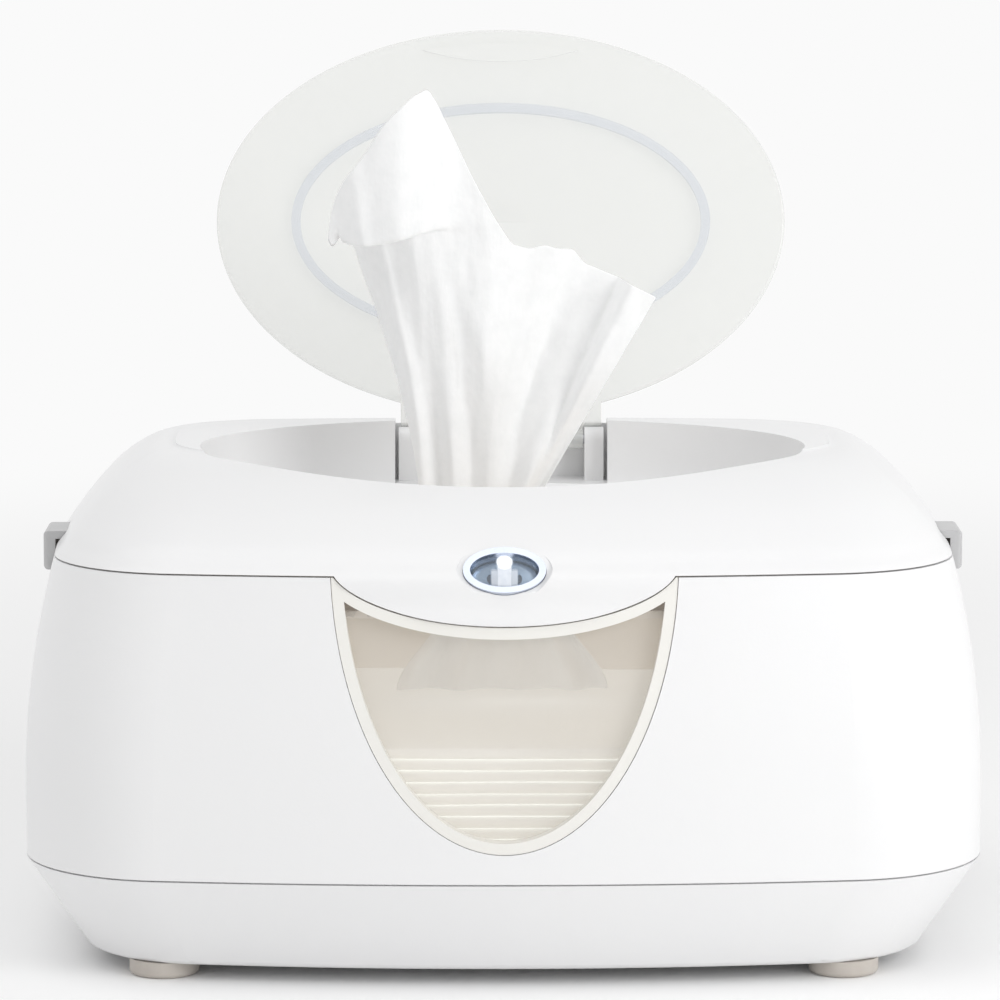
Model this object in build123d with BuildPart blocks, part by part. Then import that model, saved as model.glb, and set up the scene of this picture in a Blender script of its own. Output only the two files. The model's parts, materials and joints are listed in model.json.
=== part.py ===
from build123d import *
import math
import os

os.makedirs("parts", exist_ok=True)

# Baby wipe warmer. Millimetres, X to the right, Y to the back, Z up.
# The origin is on the floor under the middle of the body.

# Outer form
body_half_width = 118.0
body_half_depth = 90.0
body_corner_radius = 38.0
foot_height = 4.0
lower_seam_z = 27.5
belly_z = 45.0
upper_seam_z = 100.0
deck_z = 120.5
seam_gap = 0.4
wall = 2.4
side_lean = 7.2
front_lean = 8.0
rear_lean = 6.3
side_reach = 27.3
front_reach = 66.0
rear_reach = 22.2
front_bulge = 10.0
rear_bulge = 5.0
side_bulge = 3.0
corner_shrink = 0.42
side_crown_power = 2.0
front_crown_power = 2.5
rear_crown_power = 2.0

# Cutting tools: as many times larger than what they cut, and the reach of the front ones
ample = 4
front_cut_margin = 5.0
front_cut_depth = 40.0

# Base pan
pan_side_inset = 14.5
pan_end_inset = 12.0
pan_corner_radius = 31.0
pan_edge_radius = 2.5
pan_wall = 2.5
pan_groove = 0.4
shelf_inset = 1.2
shelf_depth = 2.0
lip_height = 3.0
lip_wall = 1.6
part_gap = 0.2
base_screw_x = 65.0
base_screw_y = 71.0
base_boss_radius = 3.4
base_screw_radius = 1.2
base_screw_head_radius = 2.1
base_screw_head_height = 2.0
base_screw_seat_z = 14.0
base_screw_length = 18.0
shell_lug_height = 6.0
shell_lug_reach = 14.0

# Feet
foot_radius = 8.5
foot_x = 82.6
foot_y = 62.0
foot_edge_radius = 1.2
foot_stem_radius = 3.0
foot_stem_height = 3.6

# Inner tub
tub_wall = 2.0
tub_floor_z = 10.0
tub_bottom_half_width = 94.0
tub_top_half_width = 105.0
tub_bottom_front = -70.6
tub_top_front = -70.6
tub_bottom_rear = 66.0
tub_top_rear = 76.0
tub_bottom_corner = 20.0
tub_top_corner = 31.0
tub_bulges = (2.0, 4.0, 3.0)
tub_flange_z = 95.5
tub_flange_thickness = 2.0
tub_flange_half_width = 107.8
tub_flange_front = -73.4
tub_flange_rear = 80.0
ledge_thickness = 2.2
ledge_clearance = 0.5
ledge_end_gap = 1.0

# Rim gasket
gasket_height = 1.5
gasket_width = 3.4
body_gap = 0.3

# Window
window_half_width = 41.5
window_centre_z = 106.0
window_drop = 71.5
window_strip = 2.7
window_fit = 0.15
window_recess = 0.3
pane_inset = 3.9
pane_thickness = 1.5
pane_overlap = 3.0
pane_top_z = 91.5
port_wall = 1.8
port_clearance = 0.7
port_bar = 1.8

# Tongue of the cover over the window
tongue_centre_z = 104.3
tongue_half_width = 42.0
tongue_drop = 15.5
cover_form_bottom_z = 84.0

# Recess under the flip lid
recess_y = 5.0
recess_half_width = 76.5
recess_half_depth = 53.5
recess_floor_z = 100.5
recess_wall = 1.6
recess_profile = ((0.0, 9.5), (3.5, 3.5), (10.5, 0.875))
recess_top_margin = 1.0

# Flip lid and its hinge
flip_pivot_y = 63.0
flip_pivot_z = 114.6
flip_lean = 11.5
lid_half_width = 75.3
lid_half_depth = 51.4
lid_setback = 6.5
lid_top = 4.3
lid_thickness = 2.0
lid_crown_radius = 840.0
lid_edge_radius = 0.7
seal_half_width = 55.5
seal_half_depth = 31.5
seal_width = 2.4
seal_height = 3.2
seal_seat_gap = 0.05
grip_inset = 3.6
grip_depth = 8.6
grip_curve_radius = 73.3
grip_height = 1.2
flip_arm_half_width = 26.5
flip_arm_length = 13.0
flip_arm_thickness = 5.0
flip_barrel_radius = 2.6
flip_pin_radius = 1.25
flip_pin_clearance = 0.05
flip_post_inner = 22.0
flip_post_width = 5.0
flip_post_radius = 3.2
flip_side_gap = 0.4
pocket_gap = 0.9
pocket_floor_z = 104.0
pocket_front_y = 48.0
pocket_rear_y = 68.5
pocket_wall = 1.6

# Dispensing throat
throat_half_width = 42.0
throat_half_depth = 27.0
throat_bottom_z = 77.0
throat_bottom_half_width = 27.0
throat_bottom_half_depth = 14.0
throat_slot_half_width = 21.0
throat_slot_half_depth = 7.5
throat_wall = 1.6
throat_flange = 4.5
throat_flange_thickness = 1.2
throat_hole_gap = 0.4
throat_middle_share = 0.35

# Liner under the cover
liner_flange_thickness = 1.6
liner_flange_half_width = 106.2
liner_flange_front = -73.0
liner_flange_rear = 78.5
liner_floor_z = 88.0
liner_wall = 1.6
liner_top_half_width = 101.0
liner_bottom_half_width = 99.5
liner_top_front = -65.0
liner_bottom_front = -63.0
liner_top_rear = 71.0
liner_bottom_rear = 69.5
liner_corner = 29.0
liner_notch_half_width = 13.0
liner_notch_y = -71.0
liner_screw_x = 88.0
liner_screw_y = 34.0
liner_screw_radius = 1.3
liner_screw_head_radius = 2.6
liner_screw_head_height = 1.6
liner_screw_length = 14.0
liner_boss_radius = 3.6
liner_boss_top_z = 117.0

# Heating and control
heater_half_width = 72.0
heater_half_depth = 46.0
heater_corner = 12.0
heater_thickness = 1.2
heater_hole_margin = 3.0
element_width = 5.0
element_thickness = 0.6
element_half_length = 40.0
element_inner_x = 52.0
thermostat_x = 61.0
thermostat_radius = 6.0
thermostat_height = 4.0
fuse_radius = 1.8
fuse_length = 12.0
fuse_x = -62.0
control_board_x = 60.0
control_board_y = 57.0
control_board_width = 40.0
control_board_depth = 11.0
board_thickness = 1.4
control_board_stand = 3.0
board_stand_y = 55.0
board_stand_width = 20.0
board_stand_depth = 5.5
board_part_height = 3.0
board_part_width = 5.0
board_part_depth = 5.5
board_part_pitch = 10.0
board_part_count = 3

# Light button
light_y = -78.9
light_z = 101.1
light_tilt = 42.5
bezel_half_width = 9.9
bezel_half_height = 6.55
bezel_band = 1.7
bezel_proud = 0.7
bezel_depth = 4.5
bezel_fit = 0.1
dimple_grow = 1.5
bezel_boss = 0.8
bezel_boss_rim = 1.6
lens_gap = 0.25
lens_front = 0.3
lens_thickness = 1.7
lens_edge_radius = 0.55
button_travel = 1.0
light_board_thickness = 0.9
lamp_radius = 1.5
lamp_height = 1.6
lamp_edge_radius = 0.75
switch_size = 2.6
switch_clearance = 0.9
switch_x = 4.6
button_coil_radius = 2.3
button_wire_radius = 0.2
button_coil_turns = 3
coil_seat_gap = 0.1

# Hinge of the cover
hinge_y = 86.0
hinge_z = 99.0
hinge_radius = 3.6
hinge_clear_radius = 4.0
hinge_pin_radius = 1.5
hinge_pin_clearance = 0.05
knuckle_start = 50.0
knuckle_width = 8.0
knuckle_gap = 0.3
cover_knuckle_width = 11.4
shell_web_depth = 4.5
cover_web_depth = 6.5

# Side latches
latch_y = -18.0
latch_length = 16.0
latch_bottom_z = 93.5
latch_top_z = 103.1
latch_outer_x = 113.8
latch_head_thickness = 3.0
latch_edge_radius = 1.2
latch_stem_z = 101.2
latch_plate_x = 101.0
latch_plate_thickness = 1.6
latch_plate_grow = 2.0
latch_plate_height = 4.0
latch_gap = 0.4
latch_travel = 2.0
latch_spring_length = 9.0
latch_spring_radius = 1.9
latch_wire_radius = 0.3
latch_spring_turns = 6
latch_rib_thickness = 2.0
latch_rib_half_width = 5.0

# Power inlet in the rear of the cover
jack_x = 39.0
jack_z = 105.5
jack_face_y = 80.6
jack_sleeve_length = 8.1
jack_bore_radius = 2.9
jack_sleeve_radius = 4.2
jack_pin_radius = 1.0
jack_body_width = 10.0
jack_body_height = 8.0
jack_body_depth = 12.0
jack_bore_depth = 9.0
jack_pin_setback = 1.0
jack_hole_clearance = 0.15

# Wipes
stack_half_width = 88.0
stack_front = -62.0
stack_rear = 54.0
stack_top_z = 55.0
stack_corner = 14.0
stack_edge = 4.0
stack_clearance = 0.3
wipe_thickness = 1.6
wipe_start_gap = 2.0
wipe_slot_side_gap = 4.0
wipe_slot_wave = 2.6
wipe_slot_setback = 1.4

# Wiring
wire_radius = 0.8
wire_arc_share = 0.45

# Derived levels
pan_bottom_z = foot_height
pan_top_z = lower_seam_z - pan_groove
shell_top_z = upper_seam_z - seam_gap / 2
cover_bottom_z = upper_seam_z + seam_gap / 2
gasket_z = tub_flange_z + tub_flange_thickness
liner_flange_z = gasket_z + gasket_height + body_gap
liner_flange_top_z = liner_flange_z + liner_flange_thickness
liner_floor_top_z = liner_floor_z + liner_wall
ledge_z = tub_flange_z - ledge_thickness
knuckle_end = knuckle_start + knuckle_width
second_knuckle = knuckle_end + cover_knuckle_width + 2 * knuckle_gap
corners = [(side_x, side_y) for side_x in (-1, 1) for side_y in (-1, 1)]
up = (0, 0, 1)

faces_of_form = ("side", "front", "rear")
lean = dict(zip(faces_of_form, (side_lean, front_lean, rear_lean)))
reach = dict(zip(faces_of_form, (side_reach, front_reach, rear_reach)))
crown_power = dict(zip(faces_of_form, (side_crown_power, front_crown_power, rear_crown_power)))


def form_inset(z, face):
    """Distance of the outer surface inside the body's widest outline."""
    if z <= belly_z:
        return 0.0
    if z <= upper_seam_z:
        return lean[face] * ((z - belly_z) / (upper_seam_z - belly_z)) ** 2
    rise = min(1.0, (z - upper_seam_z) / (deck_z - upper_seam_z))
    return lean[face] + reach[face] * (1 - (1 - rise) ** (1 / crown_power[face]))


def outline(z, half_width, front, rear, radius, bulges=(side_bulge, front_bulge, rear_bulge)):
    """Rounded plan outline with four bowed sides, as a face at height z."""
    side_bow, front_bow, rear_bow = bulges
    corner_x = half_width - side_bow
    front_corner = (corner_x, front + front_bow)
    rear_corner = (corner_x, rear - rear_bow)
    with BuildSketch(Plane.XY.offset(z)) as sketch:
        with BuildLine():
            ThreePointArc((-corner_x, front_corner[1]), (0, front), front_corner)
            ThreePointArc(front_corner, (half_width, (front + rear) / 2), rear_corner)
            ThreePointArc(rear_corner, (0, rear), (-corner_x, rear_corner[1]))
            left_middle = (-half_width, (front + rear) / 2)
            ThreePointArc((-corner_x, rear_corner[1]), left_middle, (-corner_x, front_corner[1]))
        make_face()
        fillet(sketch.vertices(), radius)
    return sketch.sketch.faces()[0]


def form_outline(z, inset, source_z=None):
    """Outline of the body at a height, moved inwards by an inset."""
    level = z if source_z is None else source_z
    return outline(
        z,
        body_half_width - form_inset(level, "side") - inset,
        -(body_half_depth - form_inset(level, "front") - inset),
        body_half_depth - form_inset(level, "rear") - inset,
        body_corner_radius - corner_shrink * form_inset(level, "side") - inset,
    )


def shell_form(inset):
    """Solid of the body between its seams."""
    steps = 6
    rise = (upper_seam_z - lower_seam_z) / steps
    with BuildPart() as form:
        loft(sections=[form_outline(lower_seam_z + rise * step, inset) for step in range(steps + 1)])
    return form.part


# Heights of the cover's outlines as shares of its crown, close together where it turns into the deck,
# and the power by which the lining drops below them by its wall
crown_shares = (0.08, 0.2, 0.36, 0.56, 0.74, 0.88, 0.97, 1.0)
lining_power = 3


def cover_form(inset):
    """Solid of the crowned cover, from behind the tongue up to the deck."""
    steps = 4
    rise = (upper_seam_z - cover_form_bottom_z) / steps
    below = [cover_form_bottom_z + rise * step for step in range(steps + 1)]
    above = [upper_seam_z + (deck_z - upper_seam_z) * share for share in crown_shares]
    sections = []
    for level in below + above:
        share = (level - cover_form_bottom_z) / (deck_z - cover_form_bottom_z)
        sections.append(form_outline(level - inset * share**lining_power, inset, level))
    with BuildPart() as form:
        loft(sections=sections)
    return form.part


def ellipse_face(z, half_width, half_depth, y=0.0):
    with BuildSketch(Plane.XY.offset(z)) as sketch:
        with Locations((0, y)):
            Ellipse(half_width, half_depth)
    return sketch.sketch.faces()[0]


front_plane = Plane.XZ.offset(body_half_depth + front_cut_margin)


def window_face(grow, top_z, below_tongue=None):
    """Lower half of the window's ellipse, seen from the front, up to a height."""
    with BuildSketch(front_plane) as sketch:
        with Locations((0, window_centre_z)):
            Ellipse(window_half_width + grow, window_drop + grow)
        with Locations((0, top_z)):
            Rectangle(
                ample * window_half_width,
                ample * window_drop,
                align=(Align.CENTER, Align.MAX),
                mode=Mode.INTERSECT,
            )
        if below_tongue is not None:
            with Locations((0, tongue_centre_z)):
                Ellipse(tongue_half_width + below_tongue, tongue_drop + below_tongue, mode=Mode.SUBTRACT)
    return sketch.sketch.faces().sort_by(SortBy.AREA)[-1]


def finish(builder, name):
    builder.part.label = name
    export_step(builder.part, "parts/" + name + ".step")


screw_points = [(sign * base_screw_x, base_screw_y) for sign in (-1, 1)]


def lug_sketch(grow):
    """Outlines of the shell's two screw lugs, each reaching to the rear wall."""
    with BuildSketch(Plane.XY.offset(lower_seam_z)) as lugs:
        for x, y in screw_points:
            with BuildSketch(mode=Mode.PRIVATE) as lug:
                with Locations((x, y), (x, y + shell_lug_reach)):
                    Circle(base_boss_radius + grow)
                make_hull()
            add(lug.sketch)
    return lugs.sketch


# Base pan: slanted dish with a shelf and lip that carry the outer shell
pan_slant = 1 / (pan_top_z - pan_bottom_z)


def pan_outline(z, inset):
    share = (z - pan_bottom_z) * pan_slant
    side = pan_side_inset * (1 - share)
    end = pan_end_inset * (1 - share)
    radius = pan_corner_radius + (body_corner_radius - pan_corner_radius) * share
    return outline(
        z,
        body_half_width - side - inset,
        -(body_half_depth - end - inset),
        body_half_depth - end - inset,
        radius - inset,
    )


with BuildPart() as pan_block:
    loft(sections=[pan_outline(pan_bottom_z, 0), pan_outline(pan_top_z, 0)], ruled=True)
    fillet(pan_block.faces().sort_by(Axis.Z)[0].edges(), pan_edge_radius)

with BuildPart() as pan_bosses:
    with BuildSketch(Plane.XY.offset(pan_bottom_z)):
        with Locations(*screw_points):
            Circle(base_boss_radius)
    extrude(amount=lower_seam_z - pan_bottom_z)
    add(pan_block.part, mode=Mode.INTERSECT)

with BuildPart() as base_pan:
    add(pan_block.part)
    pan_floor_z = pan_bottom_z + pan_wall
    cavity_sections = [pan_outline(pan_floor_z, pan_wall), pan_outline(pan_top_z, pan_wall)]
    loft(sections=cavity_sections, ruled=True, mode=Mode.SUBTRACT)
    shelf_z = lower_seam_z - shelf_depth
    lip_inset = wall + part_gap
    extrude(form_outline(shelf_z, shelf_inset), amount=shelf_depth, dir=up)
    extrude(form_outline(lower_seam_z, lip_inset), amount=lip_height, dir=up)
    shelf_cut = shelf_depth + lip_height
    extrude(form_outline(shelf_z, lip_inset + lip_wall), amount=shelf_cut, dir=up, mode=Mode.SUBTRACT)
    extrude(lug_sketch(part_gap), amount=lip_height, dir=up, mode=Mode.SUBTRACT)
    add(pan_bosses.part)
    with Locations(*[(x, y, base_screw_seat_z) for x, y in screw_points]):
        Cylinder(
            base_screw_radius,
            lower_seam_z,
            align=(Align.CENTER, Align.CENTER, Align.MIN),
            mode=Mode.SUBTRACT,
        )
    with Locations(*[(x, y, 0) for x, y in screw_points]):
        Cylinder(
            base_screw_head_radius + part_gap,
            base_screw_seat_z,
            align=(Align.CENTER, Align.CENTER, Align.MIN),
            mode=Mode.SUBTRACT,
        )
    with Locations(*[(x * foot_x, y * foot_y, pan_bottom_z) for x, y in corners]):
        Cylinder(foot_stem_radius, ample * pan_wall, mode=Mode.SUBTRACT)
finish(base_pan, "base_pan")

# Four rubber feet with stems pressed into the pan
foot_names = {(-1, -1): "front_left", (1, -1): "front_right", (-1, 1): "rear_left", (1, 1): "rear_right"}
for (side_x, side_y), place in foot_names.items():
    with BuildPart() as foot:
        with Locations((side_x * foot_x, side_y * foot_y, 0)):
            Cylinder(foot_radius, foot_height, align=(Align.CENTER, Align.CENTER, Align.MIN))
            fillet(foot.faces().sort_by(Axis.Z)[0].edges(), foot_edge_radius)
        with Locations((side_x * foot_x, side_y * foot_y, foot_height)):
            Cylinder(foot_stem_radius, foot_stem_height, align=(Align.CENTER, Align.CENTER, Align.MIN))
    finish(foot, "foot_" + place)

# Screws that draw the shell down on the pan
with BuildPart() as base_screws:
    with BuildSketch(Plane.XY.offset(base_screw_seat_z)):
        with Locations(*screw_points):
            Circle(base_screw_head_radius)
    extrude(amount=-base_screw_head_height)
    with BuildSketch(Plane.XY.offset(base_screw_seat_z)):
        with Locations(*screw_points):
            Circle(base_screw_radius)
    extrude(amount=base_screw_length)
finish(base_screws, "base_screws")


def hinge_tube(start, length, radius):
    """Tube along the cover's hinge line, on both sides."""
    with BuildPart() as tube:
        for sign in (-1, 1):
            with BuildSketch(Plane.YZ.offset(sign * start)):
                with Locations((hinge_y, hinge_z)):
                    Circle(radius)
            extrude(amount=sign * length)
    return tube.part


def hinge_web(start, length, depth, bottom_z, top_z):
    """Blocks that join the knuckles of both sides to the wall in front of them."""
    with BuildPart() as web:
        for sign in (-1, 1):
            with Locations((sign * (start + length / 2), hinge_y - depth, bottom_z)):
                Box(length, depth, top_z - bottom_z, align=(Align.CENTER, Align.MIN, Align.MIN))
    return web.part


# Outer shell between the seams
shell_solid = shell_form(0)
shell_lining = shell_form(wall)
with BuildPart() as shell_lugs:
    extrude(lug_sketch(0), amount=shell_lug_height, dir=up)
    add(shell_solid, mode=Mode.INTERSECT)

with BuildPart() as outer_shell:
    add(shell_solid)
    add(shell_lining, mode=Mode.SUBTRACT)
    extrude(form_outline(ledge_z, wall / 2), amount=ledge_thickness, dir=up)
    ledge_hole = outline(
        ledge_z,
        tub_top_half_width + ledge_clearance,
        tub_top_front - ledge_clearance,
        tub_top_rear + ledge_clearance,
        tub_top_corner + ledge_clearance,
        tub_bulges,
    )
    extrude(ledge_hole, amount=ledge_thickness, dir=up, mode=Mode.SUBTRACT)
    add(shell_lugs.part)
    with Locations(*[(x, y, lower_seam_z) for x, y in screw_points]):
        Cylinder(base_screw_radius, ample * shell_lug_height, mode=Mode.SUBTRACT)
    split(bisect_by=Plane.XY.offset(shell_top_z), keep=Keep.BOTTOM)
    extrude(window_face(0, window_centre_z), amount=-front_cut_depth / 2, mode=Mode.SUBTRACT)
    with Locations((0, form_inset(ledge_z, "front") + wall - body_half_depth, ledge_z)):
        Box(
            2 * (window_half_width + pane_overlap + ledge_end_gap),
            front_cut_depth,
            ledge_thickness,
            align=(Align.CENTER, Align.MIN, Align.MIN),
            mode=Mode.SUBTRACT,
        )
    latch_hole_x = latch_outer_x - latch_head_thickness - latch_travel
    for sign in (-1, 1):
        with Locations((sign * latch_hole_x, latch_y, latch_bottom_z - latch_gap)):
            Box(
                2 * latch_head_thickness + latch_travel,
                latch_length + 2 * latch_gap,
                upper_seam_z,
                align=(Align.MIN if sign > 0 else Align.MAX, Align.CENTER, Align.MIN),
                mode=Mode.SUBTRACT,
            )
    for start in (knuckle_start, second_knuckle):
        add(hinge_tube(start, knuckle_width, hinge_radius))
        add(hinge_web(start, knuckle_width, shell_web_depth, hinge_z - hinge_radius, hinge_z))
    cover_knuckle_space = cover_knuckle_width + 2 * knuckle_gap
    add(hinge_tube(knuckle_end, cover_knuckle_space, hinge_clear_radius), mode=Mode.SUBTRACT)
    add(hinge_tube(knuckle_start, second_knuckle, hinge_pin_radius), mode=Mode.SUBTRACT)
finish(outer_shell, "outer_shell")

# Window: clear pane, its seal behind the shell and the strip round the opening
pane_form = shell_form(pane_inset)
pane_back_form = shell_form(pane_inset + pane_thickness)

with BuildPart() as window_pane:
    extrude(window_face(pane_overlap, pane_top_z), amount=-front_cut_depth)
    add(pane_form, mode=Mode.INTERSECT)
    add(pane_back_form, mode=Mode.SUBTRACT)
finish(window_pane, "window_pane")

with BuildPart() as window_gasket:
    extrude(window_face(pane_overlap, pane_top_z), amount=-front_cut_depth)
    extrude(window_face(window_fit, window_centre_z), amount=-front_cut_depth, mode=Mode.SUBTRACT)
    add(shell_lining, mode=Mode.INTERSECT)
    add(pane_form, mode=Mode.SUBTRACT)
finish(window_gasket, "window_gasket")

with BuildPart() as window_frame:
    extrude(window_face(-window_fit, shell_top_z, seam_gap), amount=-front_cut_depth)
    glazed = window_face(-window_fit - window_strip, shell_top_z, seam_gap + window_strip)
    extrude(glazed, amount=-front_cut_depth, mode=Mode.SUBTRACT)
    add(shell_form(window_recess), mode=Mode.INTERSECT)
    add(pane_form, mode=Mode.SUBTRACT)
finish(window_frame, "window_frame")


def tub_outline(z, inset):
    """The tub's plan at a height, with its walls opening upwards."""
    share = (z - tub_floor_z) / (gasket_z - tub_floor_z)

    def between(low, high):
        return low + (high - low) * share

    return outline(
        z,
        between(tub_bottom_half_width, tub_top_half_width) - inset,
        between(tub_bottom_front, tub_top_front) + inset,
        between(tub_bottom_rear, tub_top_rear) - inset,
        between(tub_bottom_corner, tub_top_corner) - inset,
        tub_bulges,
    )


# Inner tub: hangs by its flange on the shell's ledge and has a port to the pane
with BuildPart() as port_block:
    extrude(window_face(port_clearance + port_wall, pane_top_z), amount=-front_cut_depth)
    add(pane_back_form, mode=Mode.INTERSECT)
    with Locations((0, tub_top_front + tub_wall, tub_floor_z)):
        Box(
            ample * window_half_width,
            front_cut_depth,
            upper_seam_z,
            align=(Align.CENTER, Align.MIN, Align.MIN),
            mode=Mode.SUBTRACT,
        )

with BuildPart() as inner_tub:
    loft(sections=[tub_outline(tub_floor_z, 0), tub_outline(gasket_z, 0)], ruled=True)
    extrude(
        outline(
            tub_flange_z,
            tub_flange_half_width,
            tub_flange_front,
            tub_flange_rear,
            tub_top_corner,
            tub_bulges,
        ),
        amount=tub_flange_thickness,
        dir=up,
    )
    add(port_block.part)
    tub_inside_z = tub_floor_z + tub_wall
    tub_inside = [tub_outline(tub_inside_z, tub_wall), tub_outline(gasket_z, tub_wall)]
    loft(sections=tub_inside, ruled=True, mode=Mode.SUBTRACT)
    extrude(window_face(port_clearance, pane_top_z - port_bar), amount=-front_cut_depth, mode=Mode.SUBTRACT)
finish(inner_tub, "inner_tub")

# Soft ring on the flange that the cover closes on
with BuildPart() as rim_gasket:
    gasket_edge = (tub_flange_half_width, tub_flange_front, tub_flange_rear, tub_top_corner)
    extrude(outline(gasket_z, *gasket_edge, tub_bulges), amount=gasket_height, dir=up)
    extrude(
        outline(
            gasket_z,
            tub_flange_half_width - gasket_width,
            tub_flange_front + gasket_width,
            tub_flange_rear - gasket_width,
            tub_top_corner - gasket_width,
            tub_bulges,
        ),
        amount=gasket_height,
        dir=up,
        mode=Mode.SUBTRACT,
    )
finish(rim_gasket, "rim_gasket")

# Folded wipes in the tub
with BuildPart() as wipe_stack:
    with BuildSketch(Plane.XY.offset(tub_inside_z + stack_clearance)):
        with Locations((0, (stack_front + stack_rear) / 2)):
            RectangleRounded(2 * stack_half_width, stack_rear - stack_front, stack_corner)
    extrude(amount=stack_top_z - tub_inside_z - stack_clearance)
    fillet(wipe_stack.faces().sort_by(Axis.Z)[-1].edges(), stack_edge)
finish(wipe_stack, "wipe_stack")

# Cover: crowned skin, tongue, recess with hinge pocket and inside bosses
recess_levels = [(recess_floor_z + rise, inset) for rise, inset in recess_profile]
recess_levels.append((deck_z + recess_top_margin, 0.0))


def recess_block(grow, drop):
    """The recess as a solid, grown by its wall."""
    sections = [
        ellipse_face(z - drop, recess_half_width - inset + grow, recess_half_depth - inset + grow, recess_y)
        for z, inset in recess_levels
    ]
    with BuildPart() as block:
        loft(sections=sections)
    return block.part


pocket_half_width = flip_post_inner + flip_post_width + pocket_gap
light_plane = Plane(
    origin=(0, light_y, light_z),
    x_dir=(1, 0, 0),
    z_dir=(0, -math.cos(math.radians(light_tilt)), math.sin(math.radians(light_tilt))),
)
light_axis = Axis(origin=light_plane.origin, direction=light_plane.z_dir)
liner_screw_points = [(x * liner_screw_x, y * liner_screw_y) for x, y in corners]

with BuildPart() as cover_cavity:
    add(cover_form(wall))
    add(recess_block(recess_wall, recess_wall), mode=Mode.SUBTRACT)
    with Locations((0, pocket_front_y, pocket_floor_z - pocket_wall)):
        Box(
            2 * (pocket_half_width + pocket_wall),
            pocket_rear_y + pocket_wall - pocket_front_y,
            deck_z,
            align=(Align.CENTER, Align.MIN, Align.MIN),
            mode=Mode.SUBTRACT,
        )
    with Locations(*[(x, y, liner_floor_top_z) for x, y in liner_screw_points]):
        Cylinder(
            liner_boss_radius,
            liner_boss_top_z - liner_floor_top_z + wall,
            align=(Align.CENTER, Align.CENTER, Align.MIN),
            mode=Mode.SUBTRACT,
        )
    rib_x = latch_plate_x - latch_spring_length
    for sign in (-1, 1):
        with Locations((sign * rib_x, latch_y, liner_flange_top_z + part_gap)):
            Box(
                latch_rib_thickness,
                2 * latch_rib_half_width,
                deck_z,
                align=(Align.MAX if sign > 0 else Align.MIN, Align.CENTER, Align.MIN),
                mode=Mode.SUBTRACT,
            )
    with BuildSketch(light_plane.offset(-wall - bezel_boss)):
        Ellipse(bezel_half_width + bezel_boss_rim, bezel_half_height + bezel_boss_rim)
    extrude(amount=2 * wall + bezel_boss, mode=Mode.SUBTRACT)

with BuildPart() as tongue_keep:
    with BuildSketch(front_plane):
        with Locations((0, tongue_centre_z)):
            Ellipse(tongue_half_width, tongue_drop)
    extrude(amount=-front_cut_depth)

with BuildPart() as below_cover:
    with Locations((0, 0, cover_bottom_z)):
        Box(
            ample * body_half_width,
            ample * body_half_depth,
            2 * (cover_bottom_z - cover_form_bottom_z),
            align=(Align.CENTER, Align.CENTER, Align.MAX),
        )
    add(tongue_keep.part, mode=Mode.SUBTRACT)

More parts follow.
